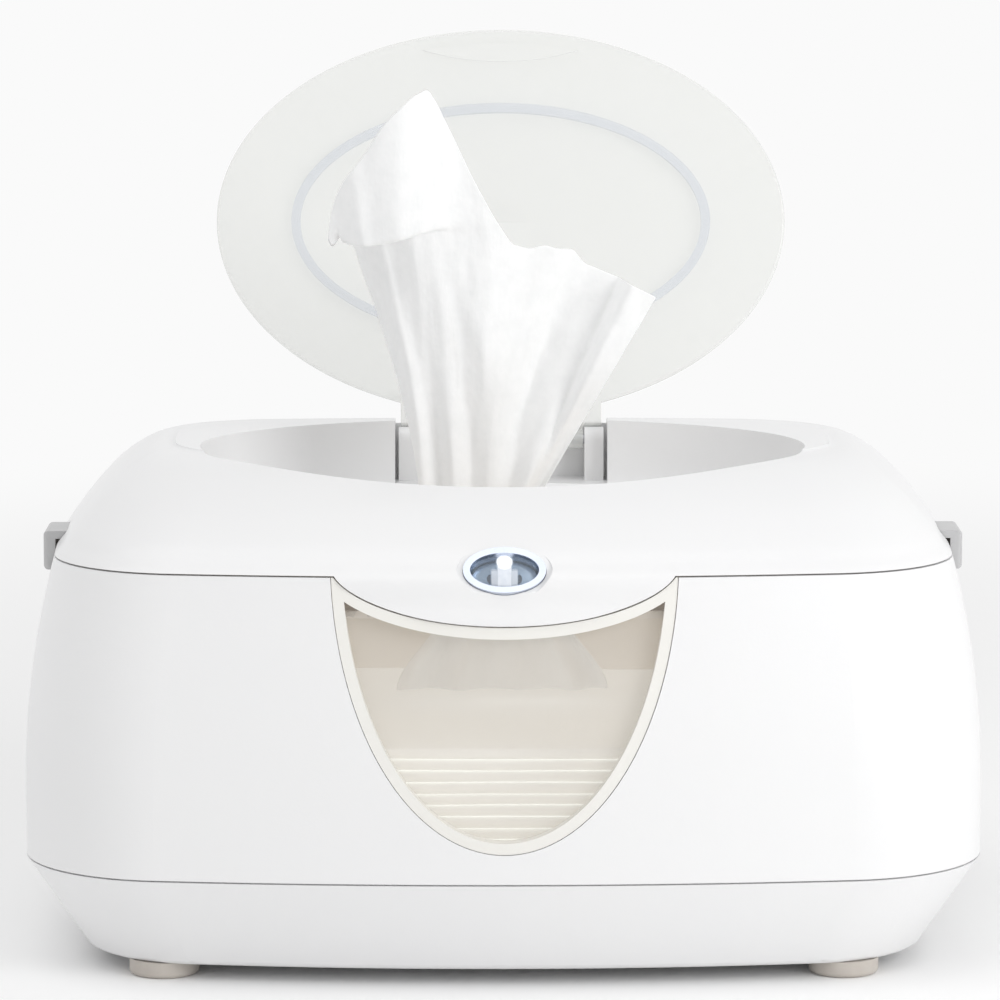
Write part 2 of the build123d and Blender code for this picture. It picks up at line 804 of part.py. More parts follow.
with BuildPart() as top_cover:
    add(cover_form(0))
    add(below_cover.part, mode=Mode.SUBTRACT)
    add(cover_cavity.part, mode=Mode.SUBTRACT)
    add(recess_block(0, 0), mode=Mode.SUBTRACT)
    cover_knuckle = knuckle_end + knuckle_gap
    add(hinge_tube(cover_knuckle, cover_knuckle_width, hinge_radius))
    web_top_z = hinge_z + hinge_radius
    add(hinge_web(cover_knuckle, cover_knuckle_width, cover_web_depth, cover_bottom_z, web_top_z))
    for start in (knuckle_start - knuckle_gap, second_knuckle - knuckle_gap):
        add(hinge_tube(start, knuckle_width + 2 * knuckle_gap, hinge_clear_radius), mode=Mode.SUBTRACT)
    add(
        hinge_tube(knuckle_start, second_knuckle, hinge_pin_radius + hinge_pin_clearance),
        mode=Mode.SUBTRACT,
    )
    with BuildSketch(light_plane):
        Ellipse(bezel_half_width + dimple_grow, bezel_half_height + dimple_grow)
    extrude(amount=2 * bezel_half_height, mode=Mode.SUBTRACT)
    with BuildSketch(light_plane):
        Ellipse(bezel_half_width + bezel_fit, bezel_half_height + bezel_fit)
    extrude(amount=-2 * bezel_depth, mode=Mode.SUBTRACT)
    with Locations(*[(x, y, liner_floor_top_z) for x, y in liner_screw_points]):
        Cylinder(liner_screw_radius, 2 * liner_screw_length, mode=Mode.SUBTRACT)
    with BuildSketch(Plane.XY.offset(recess_floor_z - recess_wall)):
        with Locations((0, recess_y)):
            Ellipse(throat_half_width + throat_hole_gap, throat_half_depth + throat_hole_gap)
    extrude(amount=ample * recess_wall, mode=Mode.SUBTRACT)
    for sign in (-1, 1):
        with Locations((sign * latch_plate_x, latch_y, cover_bottom_z)):
            Box(
                body_half_width - latch_plate_x,
                latch_length + 2 * latch_gap,
                latch_top_z + latch_gap - cover_bottom_z,
                align=(Align.MIN if sign > 0 else Align.MAX, Align.CENTER, Align.MIN),
                mode=Mode.SUBTRACT,
            )
    with BuildSketch(Plane.XZ.offset(-jack_face_y)):
        with Locations((jack_x, jack_z)):
            Circle(jack_sleeve_radius + jack_hole_clearance)
    extrude(amount=jack_sleeve_length, both=True, mode=Mode.SUBTRACT)
    with Locations((0, pocket_front_y, pocket_floor_z)):
        Box(
            2 * pocket_half_width,
            pocket_rear_y - pocket_front_y,
            deck_z,
            align=(Align.CENTER, Align.MIN, Align.MIN),
            mode=Mode.SUBTRACT,
        )
    for sign in (-1, 1):
        with BuildSketch(Plane.YZ.offset(sign * flip_post_inner)):
            with Locations((flip_pivot_y, flip_pivot_z)):
                Circle(flip_post_radius)
                post_drop = flip_pivot_z - pocket_floor_z + pocket_wall / 2
                Rectangle(2 * flip_post_radius, post_drop, align=(Align.CENTER, Align.MAX))
        extrude(amount=sign * flip_post_width)
        with BuildSketch(Plane.YZ.offset(sign * flip_post_inner)):
            with Locations((flip_pivot_y, flip_pivot_z)):
                Circle(flip_pin_radius + flip_pin_clearance)
        extrude(amount=sign * flip_post_width, mode=Mode.SUBTRACT)
finish(top_cover, "top_cover")

# Pins of the cover's hinge, held in the shell's knuckles
for sign, side in ((-1, "left"), (1, "right")):
    with BuildPart() as hinge_pin:
        with BuildSketch(Plane.YZ.offset(sign * knuckle_start)):
            with Locations((hinge_y, hinge_z)):
                Circle(hinge_pin_radius)
        extrude(amount=sign * (second_knuckle + knuckle_width - knuckle_start))
    finish(hinge_pin, "hinge_pin_" + side)

# Throat: bowl under the recess whose slot holds the wipe
throat_top_z = recess_floor_z
throat_middle_z = (throat_top_z + throat_bottom_z) / 2
throat_levels = [(throat_top_z, 0.0), (throat_middle_z, throat_middle_share), (throat_bottom_z, 1.0)]


def throat_block(inset, drop):
    sections = []
    for z, share in throat_levels:
        half_width = throat_half_width + (throat_bottom_half_width - throat_half_width) * share - inset
        half_depth = throat_half_depth + (throat_bottom_half_depth - throat_half_depth) * share - inset
        sections.append(ellipse_face(z + drop, half_width, half_depth, recess_y))
    with BuildPart() as block:
        loft(sections=sections)
    return block.part


with BuildPart() as dispensing_throat:
    add(throat_block(0, 0))
    with BuildSketch(Plane.XY.offset(throat_top_z)):
        with Locations((0, recess_y)):
            Ellipse(throat_half_width + throat_flange, throat_half_depth + throat_flange)
    extrude(amount=throat_flange_thickness)
    fillet(dispensing_throat.faces().sort_by(Axis.Z)[-1].edges(), throat_flange_thickness / 2)
    add(throat_block(throat_wall, throat_wall), mode=Mode.SUBTRACT)
    with BuildSketch(Plane.XY.offset(throat_bottom_z)):
        with Locations((0, recess_y)):
            Ellipse(throat_slot_half_width, throat_slot_half_depth)
    extrude(amount=ample * throat_wall, mode=Mode.SUBTRACT)
finish(dispensing_throat, "dispensing_throat")

# Liner tray screwed under the cover
def liner_outline(z, share, inset):
    def between(low, high):
        return low + (high - low) * share

    return outline(
        z,
        between(liner_bottom_half_width, liner_top_half_width) - inset,
        between(liner_bottom_front, liner_top_front) + inset,
        between(liner_bottom_rear, liner_top_rear) - inset,
        liner_corner - inset,
        tub_bulges,
    )


with BuildPart() as lid_liner:
    loft(sections=[liner_outline(liner_floor_z, 0, 0), liner_outline(liner_flange_top_z, 1, 0)], ruled=True)
    extrude(
        outline(
            liner_flange_z,
            liner_flange_half_width,
            liner_flange_front,
            liner_flange_rear,
            tub_top_corner,
            tub_bulges,
        ),
        amount=liner_flange_thickness,
        dir=up,
    )
    inside_bottom = liner_outline(liner_floor_top_z, 0, liner_wall)
    inside_top = liner_outline(liner_flange_top_z, 1, liner_wall)
    loft(sections=[inside_bottom, inside_top], ruled=True, mode=Mode.SUBTRACT)
    with Locations((0, liner_notch_y, liner_flange_z)):
        Box(
            2 * liner_notch_half_width,
            front_cut_depth,
            liner_flange_thickness,
            align=(Align.CENTER, Align.MAX, Align.MIN),
            mode=Mode.SUBTRACT,
        )
    with BuildSketch(Plane.XY.offset(liner_floor_z)):
        with Locations((0, recess_y)):
            Ellipse(throat_half_width + throat_hole_gap, throat_half_depth + throat_hole_gap)
        with Locations(*liner_screw_points):
            Circle(liner_screw_radius + part_gap)
    extrude(amount=2 * liner_wall, mode=Mode.SUBTRACT)
    with BuildSketch(Plane.XY.offset(liner_floor_top_z)):
        with Locations((control_board_x, board_stand_y)):
            Rectangle(board_stand_width, board_stand_depth)
    extrude(amount=control_board_stand)
finish(lid_liner, "lid_liner")

with BuildPart() as liner_screws:
    with BuildSketch(Plane.XY.offset(liner_floor_z)):
        with Locations(*liner_screw_points):
            Circle(liner_screw_head_radius)
    extrude(amount=-liner_screw_head_height)
    with BuildSketch(Plane.XY.offset(liner_floor_z)):
        with Locations(*liner_screw_points):
            Circle(liner_screw_radius)
    extrude(amount=liner_screw_length)
finish(liner_screws, "liner_screws")

# Heater on the liner's floor, above the wipes
with BuildPart() as heater_plate:
    with BuildSketch(Plane.XY.offset(liner_floor_top_z)):
        with Locations((0, recess_y)):
            RectangleRounded(2 * heater_half_width, 2 * heater_half_depth, heater_corner)
            Ellipse(
                throat_half_width + heater_hole_margin,
                throat_half_depth + heater_hole_margin,
                mode=Mode.SUBTRACT,
            )
    extrude(amount=heater_thickness)
finish(heater_plate, "heater_plate")

heater_top_z = liner_floor_top_z + heater_thickness
with BuildPart() as heater_element:
    with BuildSketch(Plane.XY.offset(heater_top_z)):
        with Locations((0, recess_y)):
            Rectangle(2 * element_inner_x, 2 * element_half_length)
            Rectangle(
                2 * (element_inner_x - element_width),
                2 * (element_half_length - element_width),
                mode=Mode.SUBTRACT,
            )
    extrude(amount=element_thickness)
finish(heater_element, "heater_element")

with BuildPart() as thermostat:
    with BuildSketch(Plane.XY.offset(heater_top_z)):
        with Locations((thermostat_x, recess_y)):
            Circle(thermostat_radius)
    extrude(amount=thermostat_height)
finish(thermostat, "thermostat")

with BuildPart() as thermal_fuse:
    with BuildSketch(Plane.XZ.offset(-recess_y)):
        with Locations((fuse_x, heater_top_z + fuse_radius)):
            Circle(fuse_radius)
    extrude(amount=fuse_length / 2, both=True)
finish(thermal_fuse, "thermal_fuse")

with BuildPart() as control_board:
    board_z = liner_floor_top_z + control_board_stand
    with BuildSketch(Plane.XY.offset(board_z)):
        with Locations((control_board_x, control_board_y)):
            Rectangle(control_board_width, control_board_depth)
    extrude(amount=board_thickness)
    with BuildSketch(Plane.XY.offset(board_z + board_thickness)):
        with Locations((control_board_x, control_board_y)):
            with GridLocations(board_part_pitch, 0, board_part_count, 1):
                Rectangle(board_part_width, board_part_depth)
    extrude(amount=board_part_height)
finish(control_board, "control_board")

# Light button in the tongue: bezel, clear lens that presses a switch, lamp
with BuildPart() as light_bezel:
    with BuildSketch(light_plane.offset(bezel_proud)):
        Ellipse(bezel_half_width, bezel_half_height)
        Ellipse(bezel_half_width - bezel_band, bezel_half_height - bezel_band, mode=Mode.SUBTRACT)
    extrude(amount=-bezel_proud - bezel_depth)
finish(light_bezel, "light_bezel")

lens_half_width = bezel_half_width - bezel_band - lens_gap
lens_half_height = bezel_half_height - bezel_band - lens_gap
with BuildPart() as button_lens:
    with BuildSketch(light_plane.offset(lens_front)):
        Ellipse(lens_half_width, lens_half_height)
    extrude(amount=-lens_thickness)
    fillet(button_lens.faces().sort_by(light_axis)[-1].edges(), lens_edge_radius)
finish(button_lens, "light_button")

light_board_plane = light_plane.offset(-bezel_depth)
lens_back = bezel_depth + lens_front - lens_thickness
with BuildPart() as light_board:
    with BuildSketch(light_board_plane):
        Ellipse(bezel_half_width, bezel_half_height)
    extrude(amount=-light_board_thickness)
finish(light_board, "light_board")

with BuildPart() as lamp:
    with BuildSketch(light_board_plane):
        Circle(lamp_radius)
    extrude(amount=lamp_height)
    fillet(lamp.faces().sort_by(light_axis)[-1].edges(), lamp_edge_radius)
finish(lamp, "lamp")

with BuildPart() as press_switches:
    with BuildSketch(light_board_plane):
        with Locations((-switch_x, 0), (switch_x, 0)):
            Rectangle(switch_size, switch_size)
    extrude(amount=lens_back - button_travel - switch_clearance)
finish(press_switches, "press_switches")


coil_samples = 24


def coil_gap(radius, wire, rise, turns):
    """Least distance between the surfaces of turns, from points half a turn or more apart."""
    points = []
    for index in range(turns * coil_samples + 1):
        angle = 2 * math.pi * index / coil_samples
        height = rise * index / (turns * coil_samples)
        points.append((radius * math.cos(angle), radius * math.sin(angle), height))
    half_turn = coil_samples // 2
    pairs = [(a, b) for a in range(len(points)) for b in range(a + half_turn, len(points))]
    return min(math.dist(points[a], points[b]) for a, b in pairs) - 2 * wire


def coil_spring(plane, radius, wire, length, turns):
    """Open coil spring between two seats, along the normal of the first."""
    rise = length - 2 * (wire + coil_seat_gap)
    print("least gap between a spring's turns:", round(coil_gap(radius, wire, rise, turns), 2))
    with BuildPart() as spring:
        with BuildLine() as path:
            Helix(pitch=rise / turns, height=rise, radius=radius)
        with BuildSketch(Plane(origin=path.line @ 0, z_dir=path.line % 0)):
            Circle(wire)
        sweep()
    return spring.part.moved(plane.offset(wire + coil_seat_gap).location)


with BuildPart() as button_spring:
    spring_size = (button_coil_radius, button_wire_radius, lens_back, button_coil_turns)
    add(coil_spring(light_board_plane, *spring_size))
finish(button_spring, "button_spring")

# Squeeze latches on both sides of the seam, each with its return spring
for sign, side in ((-1, "left"), (1, "right")):
    with BuildPart() as latch_head:
        with Locations((sign * latch_outer_x, latch_y, latch_bottom_z)):
            Box(
                latch_head_thickness,
                latch_length,
                latch_top_z - latch_bottom_z,
                align=(Align.MAX if sign > 0 else Align.MIN, Align.CENTER, Align.MIN),
            )
        outer_face = latch_head.faces().sort_by(Axis.X)[-1 if sign > 0 else 0]
        fillet(outer_face.edges(), latch_edge_radius)
    with BuildPart() as side_latch:
        add(latch_head.part)
        with Locations((sign * latch_plate_x, latch_y, latch_stem_z)):
            Box(
                latch_outer_x - latch_head_thickness - latch_plate_x + latch_edge_radius,
                latch_length,
                latch_top_z - latch_stem_z,
                align=(Align.MIN if sign > 0 else Align.MAX, Align.CENTER, Align.MIN),
            )
            Box(
                latch_plate_thickness,
                latch_length + 2 * latch_plate_grow,
                latch_plate_height,
                align=(Align.MIN if sign > 0 else Align.MAX, Align.CENTER, Align.MIN),
            )
    finish(side_latch, "side_latch_" + side)
    spring_z = latch_stem_z + latch_spring_radius + latch_wire_radius + part_gap
    spring_plane = Plane(origin=(sign * rib_x, latch_y, spring_z), x_dir=(0, 0, 1), z_dir=(sign, 0, 0))
    with BuildPart() as latch_spring:
        spring_size = (latch_spring_radius, latch_wire_radius, latch_spring_length, latch_spring_turns)
        add(coil_spring(spring_plane, *spring_size))
    finish(latch_spring, "latch_spring_" + side)

# Power inlet behind the hinge pocket
jack_plane = Plane.XZ.offset(-jack_face_y)
with BuildPart() as power_inlet:
    with BuildSketch(jack_plane):
        with Locations((jack_x, jack_z)):
            Circle(jack_sleeve_radius)
    extrude(amount=jack_sleeve_length)
    with BuildSketch(jack_plane.offset(jack_sleeve_length)):
        with Locations((jack_x, jack_z)):
            Rectangle(jack_body_width, jack_body_height)
    extrude(amount=jack_body_depth)
    with BuildSketch(jack_plane):
        with Locations((jack_x, jack_z)):
            Circle(jack_bore_radius)
    extrude(amount=jack_bore_depth, mode=Mode.SUBTRACT)
    with BuildSketch(jack_plane.offset(jack_bore_depth)):
        with Locations((jack_x, jack_z)):
            Circle(jack_pin_radius)
    extrude(amount=jack_pin_setback - jack_bore_depth)
finish(power_inlet, "power_inlet")

# Flip lid, modelled closed and level about its hinge line, then opened
lid_plane = Plane(
    origin=(0, flip_pivot_y, flip_pivot_z),
    x_dir=(1, 0, 0),
    z_dir=(0, math.cos(math.radians(flip_lean)), -math.sin(math.radians(flip_lean))),
)
lid_centre_y = -lid_setback - lid_half_depth
lid_sag = lid_crown_radius - math.sqrt(lid_crown_radius**2 - lid_half_depth**2)
lid_ball_z = lid_top + lid_sag - lid_crown_radius

with BuildPart() as lid_shape:
    with BuildSketch():
        with Locations((0, lid_centre_y)):
            Ellipse(lid_half_width, lid_half_depth)
    extrude(amount=ample * lid_top, both=True)
    with Locations((0, lid_centre_y, lid_ball_z)):
        Sphere(lid_crown_radius, mode=Mode.INTERSECT)
        Sphere(lid_crown_radius - lid_thickness, mode=Mode.SUBTRACT)
    fillet(lid_shape.edges(), lid_edge_radius)

with BuildPart() as grip_shape:
    with BuildSketch():
        with Locations((0, lid_centre_y)):
            Ellipse(lid_half_width - grip_inset, lid_half_depth - grip_inset)
        with Locations((0, lid_centre_y - lid_half_depth + grip_depth - grip_curve_radius)):
            Circle(grip_curve_radius, mode=Mode.INTERSECT)
    extrude(amount=lid_top)
    with Locations((0, lid_centre_y, lid_ball_z)):
        Sphere(lid_crown_radius - lid_thickness / 2, mode=Mode.INTERSECT)
        Sphere(lid_crown_radius - lid_thickness - grip_height, mode=Mode.SUBTRACT)

with BuildPart() as arm_shape:
    with BuildSketch(Plane.YZ):
        with Locations((-flip_arm_length, lid_top)):
            arm_reach = flip_arm_length - flip_post_radius - flip_side_gap
            Rectangle(arm_reach, flip_arm_thickness, align=(Align.MIN, Align.MAX))
    extrude(amount=flip_arm_half_width, both=True)
    with BuildSketch(Plane.YZ):
        Circle(flip_barrel_radius)
        with Locations((-flip_arm_length, lid_top)):
            Rectangle(flip_arm_length, flip_arm_thickness, align=(Align.MIN, Align.MAX))
    extrude(amount=flip_post_inner - flip_side_gap, both=True)
    with BuildSketch(Plane.YZ):
        Circle(flip_pin_radius)
    extrude(amount=flip_arm_half_width, both=True, mode=Mode.SUBTRACT)

with BuildPart() as flip_lid:
    add(lid_shape.part.moved(lid_plane.location))
    add(grip_shape.part.moved(lid_plane.location))
    add(arm_shape.part.moved(lid_plane.location))
finish(flip_lid, "flip_lid")

with BuildPart() as seal_shape:
    with BuildSketch():
        with Locations((0, lid_centre_y)):
            Ellipse(seal_half_width, seal_half_depth)
            Ellipse(seal_half_width - seal_width, seal_half_depth - seal_width, mode=Mode.SUBTRACT)
    extrude(amount=2 * lid_top)
    with Locations((0, lid_centre_y, lid_ball_z)):
        Sphere(lid_crown_radius - lid_thickness - seal_seat_gap, mode=Mode.INTERSECT)
        Sphere(lid_crown_radius - lid_thickness - seal_height, mode=Mode.SUBTRACT)

with BuildPart() as flip_lid_seal:
    add(seal_shape.part.moved(lid_plane.location))
finish(flip_lid_seal, "flip_lid_seal")

with BuildPart() as flip_pin:
    with BuildSketch(Plane.YZ):
        with Locations((flip_pivot_y, flip_pivot_z)):
            Circle(flip_pin_radius)
    extrude(amount=flip_post_inner + flip_post_width, both=True)
finish(flip_pin, "flip_pin")

# Wipe drawn through the slot: narrow neck, then a fan with a folded top. Its outlines are given
# by height, middle in x, middle in y, half width and depth of the wave across it
wipe_slot_y = recess_y + throat_slot_half_depth - wipe_thickness - wipe_slot_wave - wipe_slot_setback
wipe_slot_half_width = throat_slot_half_width - wipe_slot_side_gap
wipe_levels = [
    (stack_top_z + wipe_start_gap, 0.0, recess_y + 1.5, 30.0, 2.0),
    (throat_bottom_z + throat_wall / 2, 0.0, wipe_slot_y, wipe_slot_half_width, wipe_slot_wave),
    (recess_floor_z, -1.0, recess_y + 2.5, 17.0, 3.0),
    (recess_floor_z + 18.0, -3.0, recess_y, 16.5, 5.0),
    (recess_floor_z + 38.0, -1.0, recess_y - 3.0, 28.0, 5.0),
    (recess_floor_z + 58.0, -2.0, recess_y - 2.0, 36.0, 5.0),
    (recess_floor_z + 74.0, -9.0, recess_y - 1.0, 24.0, 4.0),
    (recess_floor_z + 90.0, -15.0, recess_y + 1.0, 13.0, 3.0),
    (recess_floor_z + 106.0, -18.0, recess_y + 3.0, 3.0, 1.0),
]


def wipe_section(z, middle_x, middle_y, half_width, wave):
    """Thin S-shaped strip: two arcs side by side, front and back."""
    left, right = middle_x - half_width, middle_x + half_width
    quarter = half_width / 2
    back = middle_y + wipe_thickness
    with BuildSketch(Plane.XY.offset(z)) as sketch:
        with BuildLine():
            ThreePointArc((left, middle_y), (middle_x - quarter, middle_y - wave), (middle_x, middle_y))
            ThreePointArc((middle_x, middle_y), (middle_x + quarter, middle_y + wave), (right, middle_y))
            Line((right, middle_y), (right, back))
            ThreePointArc((right, back), (middle_x + quarter, back + wave), (middle_x, back))
            ThreePointArc((middle_x, back), (middle_x - quarter, back - wave), (left, back))
            Line((left, back), (left, middle_y))
        make_face()
    return sketch.sketch.faces()[0]


with BuildPart() as dispensed_wipe:
    loft(sections=[wipe_section(*level) for level in wipe_levels])
finish(dispensed_wipe, "dispensed_wipe")


def wire(points):
    """Round wire along straight runs joined by arcs."""
    runs = [(Vector(*b) - Vector(*a)).length for a, b in zip(points, points[1:])]
    radii = []
    for index in range(1, len(points) - 1):
        before = Vector(*points[index]) - Vector(*points[index - 1])
        after = Vector(*points[index + 1]) - Vector(*points[index])
        turn = math.radians(before.get_angle(after))
        radii.append(wire_arc_share * min(runs[index - 1], runs[index]) / math.tan(turn / 2))
    print("radii of a wire's bends:", [round(radius, 1) for radius in radii])
    with BuildPart() as lead:
        with BuildLine() as path:
            FilletPolyline(*points, radius=radii)
        with BuildSketch(Plane(origin=path.line @ 0, z_dir=path.line % 0)):
            Circle(wire_radius)
        sweep()
    return lead.part


board_top_z = board_z + board_thickness
board_right_x = control_board_x + control_board_width / 2
board_front_y = control_board_y - control_board_depth / 2
supply_points = [
    (jack_x, jack_face_y - jack_sleeve_length - jack_body_depth - part_gap, jack_z),
    (39.5, 55.5, 105.0),
    (41.0, 53.0, 99.0),
    (42.0, 55.5, board_top_z + 2 * wire_radius),
]
light_points = [
    (board_right_x - wire_radius, control_board_y - 2.0, board_top_z + wire_radius),
    (83.0, 42.0, 95.0),
    (82.0, 5.0, 94.0),
    (78.0, -30.0, 94.0),
    (58.0, -52.0, 95.0),
    (30.0, -57.0, 98.0),
    (12.0, -61.0, 102.8),
    (4.0, -69.0, 102.0),
]
heater_points = [
    (control_board_x, board_front_y - wire_radius, board_z + board_thickness / 2),
    (66.0, 44.0, 94.5),
    (66.0, 28.0, 94.5),
    (thermostat_x, recess_y + thermostat_radius + part_gap, heater_top_z + thermostat_height / 2),
]
wire_routes = {"supply_wire": supply_points, "light_wire": light_points, "heater_wire": heater_points}
for name, points in wire_routes.items():
    with BuildPart() as lead_wire:
        add(wire(points))
    finish(lead_wire, name)
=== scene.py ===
import json
import math

import bmesh
import bpy
from mathutils import Matrix, Vector, noise


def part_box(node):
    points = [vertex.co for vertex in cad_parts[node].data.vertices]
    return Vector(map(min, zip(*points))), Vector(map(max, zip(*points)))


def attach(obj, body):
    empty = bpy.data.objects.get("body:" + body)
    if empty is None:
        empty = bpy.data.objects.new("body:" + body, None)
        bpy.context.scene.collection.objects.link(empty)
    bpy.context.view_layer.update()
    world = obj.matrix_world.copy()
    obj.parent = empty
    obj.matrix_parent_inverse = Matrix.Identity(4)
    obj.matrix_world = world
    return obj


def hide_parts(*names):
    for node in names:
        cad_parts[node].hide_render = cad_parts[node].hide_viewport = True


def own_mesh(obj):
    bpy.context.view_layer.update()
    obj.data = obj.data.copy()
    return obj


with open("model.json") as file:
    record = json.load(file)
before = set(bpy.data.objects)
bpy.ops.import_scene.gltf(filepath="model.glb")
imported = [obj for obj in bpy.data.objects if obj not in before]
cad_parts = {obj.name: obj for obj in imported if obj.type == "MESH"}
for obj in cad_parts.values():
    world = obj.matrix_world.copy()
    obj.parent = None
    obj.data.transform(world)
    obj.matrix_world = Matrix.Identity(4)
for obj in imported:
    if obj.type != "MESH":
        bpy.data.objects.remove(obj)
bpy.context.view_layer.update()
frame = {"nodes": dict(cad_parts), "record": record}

mm = 0.001
cadNodes = frame["nodes"]


# Shader helpers

class Plug:  # a shader socket that sums and products can be written with
    def __init__(self, graph, socket):
        self.graph = graph
        self.socket = socket

    def work(self, operation, first, second):
        return self.graph.add("ShaderNodeMath", {"operation": operation}, {0: first, 1: second})

    def __add__(self, other):
        return self.work("ADD", self, other)

    def __radd__(self, other):
        return self.work("ADD", other, self)

    def __sub__(self, other):
        return self.work("SUBTRACT", self, other)

    def __rsub__(self, other):
        return self.work("SUBTRACT", other, self)

    def __mul__(self, other):
        return self.work("MULTIPLY", self, other)

    def __rmul__(self, other):
        return self.work("MULTIPLY", other, self)

    def __abs__(self):
        return self.work("ABSOLUTE", self, 0.0)

    def most(self, other):  # the larger of the two
        return self.work("MAXIMUM", self, other)


class Graph:  # a node tree, emptied first; add() makes any node in it
    def __init__(self, tree):
        self.nodes, self.links = tree.nodes, tree.links
        self.nodes.clear()

    def add(self, kind, settings=None, values=None, output=0):
        node = self.nodes.new(kind)
        for key, value in (settings or {}).items():
            setattr(node, key, value)
        for key, value in (values or {}).items():
            if isinstance(value, Plug):
                self.links.new(value.socket, node.inputs[key])
            else:
                node.inputs[key].default_value = value
        return Plug(self, node.outputs[output]) if node.outputs else None

    def backdropRays(self):  # 1 for rays that meet the plain backdrop, 0 for those that carry light
        names = ("Is Camera Ray", "Is Glossy Ray", "Is Transmission Ray")
        seen, glossy, through = [self.add("ShaderNodeLightPath", output=name) for name in names]
        return seen.most(glossy.most(through))


class Finish(Graph):  # the nodes of one material, closed by surface()
    def __init__(self, name):
        self.material = bpy.data.materials.new(name)
        self.material.use_nodes = True
        super().__init__(self.material.node_tree)

    def place(self, stretch=(1, 1, 1)):
        spot = self.add("ShaderNodeTexCoord", output=3)
        return self.add("ShaderNodeMapping", None, {0: spot, 3: stretch})

    def axis(self, index):  # one coordinate of the object, in metres
        return self.add("ShaderNodeSeparateXYZ", None, {0: self.place()}, index)

    def grain(self, size, detail=3.0, stretch=(1, 1, 1)):  # noise of a size in metres
        values = {0: self.place(stretch), 2: 1 / size, 3: detail}
        return self.add("ShaderNodeTexNoise", None, values)

    def cells(self, size, stretch=(1, 1, 1)):
        return self.add("ShaderNodeTexVoronoi", None, {0: self.place(stretch), 2: 1 / size})

    def blend(self, share, first, second):
        settings = {"data_type": "RGBA"}
        return self.add("ShaderNodeMix", settings, {0: share, 6: first, 7: second}, 2)

    def tint(self, share, look):  # from a look's shade to its colour
        return self.blend(share, paint(*look["shade"]), paint(*look["colour"]))

    def span(self, value, low, high):  # 0 at low, 1 at high, eased
        settings = {"interpolation_type": "SMOOTHSTEP"}
        return self.add("ShaderNodeMapRange", settings, {0: value, 1: low, 2: high})

    def below(self, value, edge, soft):  # 1 well under the edge, 0 at it and past it
        return 1 - self.span(value, edge - soft, edge)

    def bump(self, height, depth, strength=1.0, under=None):
        values = {"Strength": strength, "Distance": depth, "Height": height}
        if under:
            values["Normal"] = under
        return self.add("ShaderNodeBump", None, values)

    def surface(self, values):
        shader = self.add("ShaderNodeBsdfPrincipled", None, values)
        self.add("ShaderNodeOutputMaterial", None, {0: shader})
        return self.material


def paint(red, green, blue):  # a screen colour from 0 to 255 as the shader's linear one
    parts = [value / 255 for value in (red, green, blue)]
    line = [part / 12.92 if part <= 0.04045 else ((part + 0.055) / 1.055) ** 2.4 for part in parts]
    return (*line, 1)


def stray(middle, grain, spread):  # a value that the grain moves to both sides of its middle
    return middle + (grain - 0.5) * spread


# Finishes: sizes and depths in metres, colours as on a screen

def mouldedPlastic(name, look):
    finish = Finish(name)
    cloud = finish.grain(look["cloud"], detail=2.0)
    skin = finish.grain(look["skin"], detail=4.0)
    colour = finish.tint(cloud, look)
    return finish.surface({
        "Base Color": colour,
        "Roughness": stray(look["roughness"], skin, look["roughSpread"]),
        "Coat Weight": look["coat"],
        "Coat Roughness": look["coatRoughness"],
        # painted light: the plastic glows in its own colour by its look's lit, though it is no lamp
        "Emission Color": colour,
        "Emission Strength": look["lit"],
        "Normal": finish.bump(skin, look["skinDepth"]),
    })


def clearPlastic(name, look):
    finish = Finish(name)
    haze = finish.grain(look["haze"])
    frost = finish.grain(look["frost"])
    return finish.surface({
        "Base Color": finish.tint(haze, look),
        "Roughness": stray(look["roughness"], frost, look["roughSpread"]),
        "Alpha": stray(look["cover"], haze, look["coverSpread"]),
        "IOR": look["bend"],
        "Coat Weight": look["coat"],
        "Normal": finish.bump(frost, look["frostDepth"]),
    })


def metal(name, look):
    finish = Finish(name)
    brushed = finish.grain(look["line"], detail=4.0, stretch=look["stretch"])
    cloud = finish.grain(look["cloud"])
    return finish.surface({
        "Base Color": finish.tint(cloud, look),
        "Metallic": 1.0,
        "Roughness": stray(look["roughness"], brushed, look["roughSpread"]),
        "Normal": finish.bump(brushed, look["lineDepth"]),
    })


def softRubber(name, look):
    finish = Finish(name)
    cloud = finish.grain(look["cloud"])
    skin = finish.cells(look["skin"])
    return finish.surface({
        "Base Color": finish.tint(cloud, look),
        "Roughness": stray(look["roughness"], cloud, look["roughSpread"]),
        "Alpha": look["cover"],
        "Sheen Weight": look["sheen"],
        "Normal": finish.bump(skin, look["skinDepth"]),
    })


def wovenless(name, look):  # matted fibres pressed into a sheet, with a fine pattern of dimples
    finish = Finish(name)
    fibres = finish.grain(look["fibre"], detail=6.0, stretch=look["fibreStretch"])
    mat = finish.grain(look["mat"], detail=4.0)
    dimples = finish.cells(look["dimple"])
    colour = finish.tint(mat, look)
    fine = finish.bump(fibres, look["fibreDepth"], look["fibreStrength"])
    return finish.surface({
        "Base Color": colour,
        "Roughness": stray(look["roughness"], fibres, look["roughSpread"]),
        "Alpha": stray(look["cover"], mat, look["coverSpread"]),
        # painted light: the sheet glows in its own colour by its look's lit, standing in for light
        # through the fibres
        "Emission Color": colour,
        "Emission Strength": look["lit"],
        "Sheen Weight": look["sheen"],
        "Normal": finish.bump(dimples, look["dimpleDepth"], look["dimpleStrength"], fine),
    })


def circuitBoard(name, look):
    finish = Finish(name)
    tracks = finish.cells(look["track"], look["trackStretch"])
    edge = finish.span(tracks, look["trackLow"], look["trackHigh"])
    return finish.surface({
        "Base Color": finish.tint(edge, look),
        "Roughness": look["roughness"] + edge * look["roughSpread"],
        "Normal": finish.bump(edge, look["trackDepth"]),
    })
